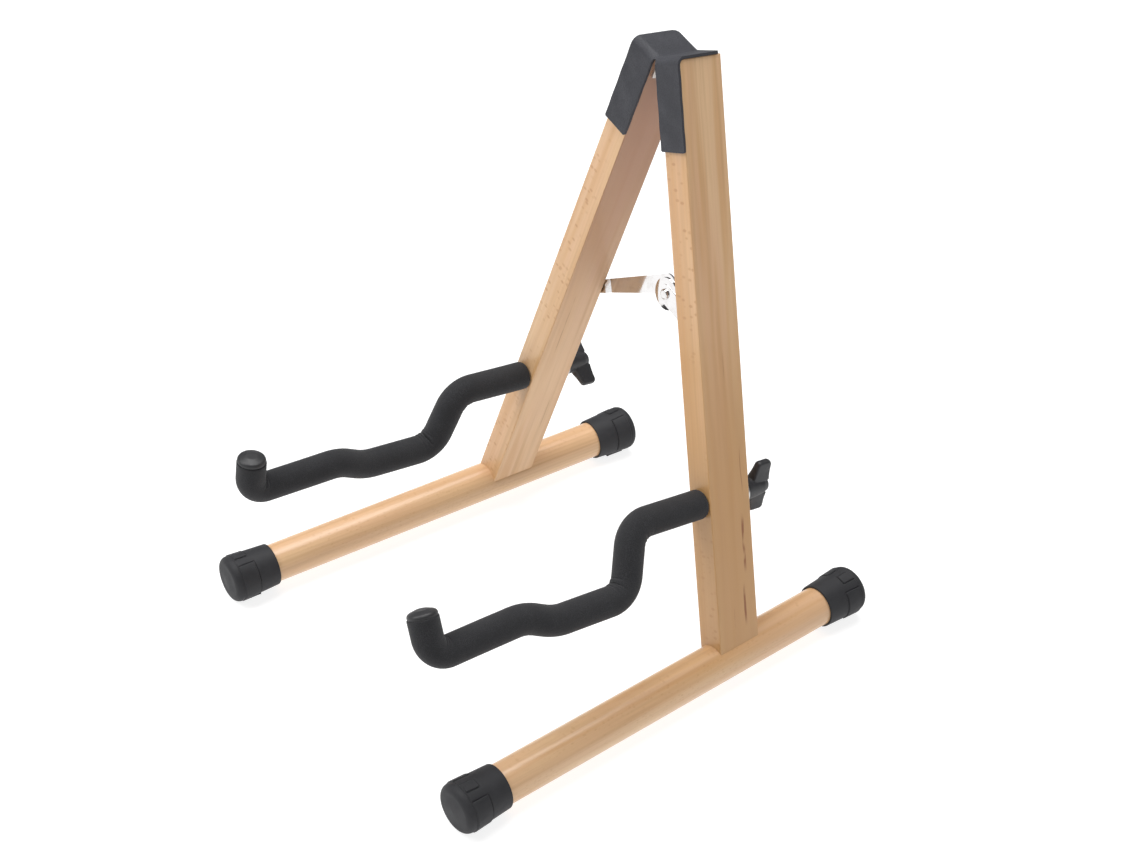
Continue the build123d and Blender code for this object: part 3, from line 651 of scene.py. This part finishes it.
foam_finish, plug_finish = foam(), hard_plastic("plug_plastic", 0.42, (0.022, 0.022, 0.024))
for name, side in SIDES.items():
    forwards, upwards, sideways = (np.array(direction) for direction in arm_axes(name))
    origin = np.array(at(name, behind=-upright_depth / 2, above=arm_height))
    route = rounded_line(arm_corners, arm_radii, foam_step)
    heading = np.gradient(route, axis=0)
    heading /= np.linalg.norm(heading, axis=1, keepdims=True)
    gone = np.concatenate([[0], np.cumsum(np.linalg.norm(np.diff(route, axis=0), axis=1))])
    left = gone[-1] - gone
    curving = np.gradient(np.unwrap(np.arctan2(heading[:, 1], heading[:, 0])), gone)
    curving = np.convolve(curving, np.ones(9) / 9, mode="same")
    inner_side = np.stack([-heading[:, 1], heading[:, 0]], axis=1)      # left of the route
    angle = np.linspace(0, 2 * pi, foam_around, endpoint=False)
    towards_inside = np.clip(np.cos(angle)[None] * np.sign(curving)[:, None], 0, 1) ** 2
    bend = np.clip(np.abs(curving) * tightest_bend, 0, 1)
    wave = 0.5 + 0.5 * np.cos(gone / crease_spacing * 2 * pi + 1.3 * np.sin(gone / 17) + side)
    crease = crease_depth * (bend ** 3)[:, None] * towards_inside * (wave ** 1.6)[:, None]
    for corner, bend_radius in zip(arm_corners[1:], arm_radii):
        if bend_radius <= tightest_bend:
            middle = gone[np.argmin(np.hypot(*(route - corner).T))]
            fold = np.exp(-((gone - middle) / fold_width) ** 2)
            crease = crease + fold_depth * fold[:, None] * towards_inside
    bumps = np.sin(gone / bump_length + side)[:, None] * np.cos(angle + gone[:, None] / bump_twist)
    uneven = bumpiness * (1 + bumps)
    to_wood = np.clip(gone / foam_end_length, 0, 1)
    to_tip = np.clip(left / foam_tip_length, 0, 1)
    radius = foam_radius - (foam_radius - foam_end_radius) * (1 - np.sqrt(1 - (1 - to_wood) ** 2))
    radius = radius - foam_tip_drop * (1 - np.sqrt(1 - (1 - to_tip) ** 2))
    radius = radius[:, None] - crease - uneven * (to_wood * to_tip)[:, None]
    in_plane = radius * np.cos(angle)
    square = radius * np.sin(angle)
    flat = route[:, None, :] + in_plane[..., None] * inner_side[:, None, :]
    rings = origin + MM * (flat[..., :1] * forwards + flat[..., 1:] * upwards + square[..., None] * sideways)
    sleeve = make_mesh(f"foam_tube_{name}", ring_points(rings), ring_faces(*rings.shape[:2]), foam_finish, 60)
    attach(sleeve, f"arm_{name}")
    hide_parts(f"foam_sleeve_{name}")

    tip = origin + MM * (route[-1, 0] * forwards + route[-1, 1] * upwards)
    tip_heading = heading[-1, 0] * forwards + heading[-1, 1] * upwards
    outline = rounded_line(plug_outline, plug_rounding, 0.25)
    rings = turned(outline * MM, tip, tip_heading, sideways, 96)
    plug = make_mesh(f"domed_plug_{name}", ring_points(rings), ring_faces(*rings.shape[:2]), plug_finish)
    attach(plug, f"arm_{name}")
    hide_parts(f"tip_plug_{name}")


# ---------------------------------------------------------------- wing nuts
# A black moulded wing nut clamps each arm from behind the upright: a tapered hub round the threaded
# shank, and two flat wings that stand away from the wood. Its skin is blended where they meet.
knob_start = upright_depth / 2 + 1.72 * MM    # behind the washer
hub_outline = [(0, 20.8), (4.5, 20.8), (4.5, 7.6), (7.6, 7.6), (7.6, 0.3), (8.4, 0.3), (8.5, 2.5),
               (7.0, 17.8), (5.4, 23.0), (0, 23.0)]
hub_rounding = [0.3, 0.3, 0.3, 0.2, 0.4, 4.0, 4.0, 2.0]
wing_outline = [(4.8, 16.0), (4.8, 8.4), (7.9, 7.0), (20.8, 11.4), (20.8, 23.8), (4.8, 22.8), (4.8, 16.0)]
wing_rounding = [0.5, 1.0, 2.8, 3.0, 0.5]
wing_span, wing_length = 20.8, 16.0           # from the axis to the tip, and from the hub's wall
wing_half_tip, wing_half_root = 2.9, 4.6      # half the thickness at the tip, and where it leaves the hub
wing_swell = 1.6                              # how late along the wing it thickens
wing_edge = 1.5                               # how far the rounded edge draws in
knob_turn = {"left": radians(62.6), "right": radians(20.7)}
knob_grain = 0.40 * MM                        # cell of the blended skin


def wing(way):
    """One wing: its outline carried across its thickness, which swells towards the hub.

    At angle t from -90 to 90 degrees a ring lies at half sin t from the middle, and its outline is drawn
    towards its own centre by edge (1 - cos t).
    """
    outline = rounded_line(wing_outline, wing_rounding, 0.35)[:-1]
    tilt = np.linspace(-pi / 2, pi / 2, 15)[:, None]
    swell = np.clip((wing_span - outline[:, 0]) / wing_length, 0, 1) ** wing_swell
    across_at = np.sin(tilt) * (wing_half_tip + (wing_half_root - wing_half_tip) * swell)
    middle = outline.mean(0)
    inwards = middle - outline
    inwards /= np.linalg.norm(inwards, axis=1, keepdims=True)
    flat = outline + (wing_edge * (1 - np.cos(tilt)))[..., None] * inwards
    return np.concatenate([flat * (way, 1), across_at[..., None]], axis=-1)


knob_finish = hard_plastic("knob_plastic", 0.40, (0.026, 0.026, 0.029))
for name, side in SIDES.items():
    across, backwards, up = (np.array(direction) for direction in upright_axes(side))
    wing_line = up * cos(knob_turn[name]) + across * (side * sin(knob_turn[name]))
    thick = np.cross(wing_line, backwards)
    base = np.array(at(name, above=arm_height)) + knob_start * backwards
    rings = turned(rounded_line(hub_outline, hub_rounding, 0.4) * MM, base, backwards, wing_line, 96)
    points, faces = [ring_points(rings)], ring_faces(*rings.shape[:2])
    for way in (-1, 1):
        local = wing(way) * MM
        rings = base + local[..., :1] * wing_line + local[..., 1:2] * backwards + local[..., 2:] * thick
        faces += ring_faces(*rings.shape[:2], start=sum(len(part) for part in points))
        points.append(ring_points(rings))
    knob = make_mesh(f"wing_knob_{name}", np.concatenate(points), faces, knob_finish, 60)
    join = knob.modifiers.new("one_skin", "REMESH")
    join.mode, join.voxel_size, join.use_smooth_shade = "VOXEL", knob_grain, True
    soften = knob.modifiers.new("blended", "SMOOTH")
    soften.factor, soften.iterations = 0.5, 6
    made = bpy.data.meshes.new_from_object(knob.evaluated_get(bpy.context.evaluated_depsgraph_get()))
    knob.modifiers.clear()
    knob.data = made
    made.name = knob.name
    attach(knob, f"knob_{name}")
    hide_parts(f"wing_nut_{name}")
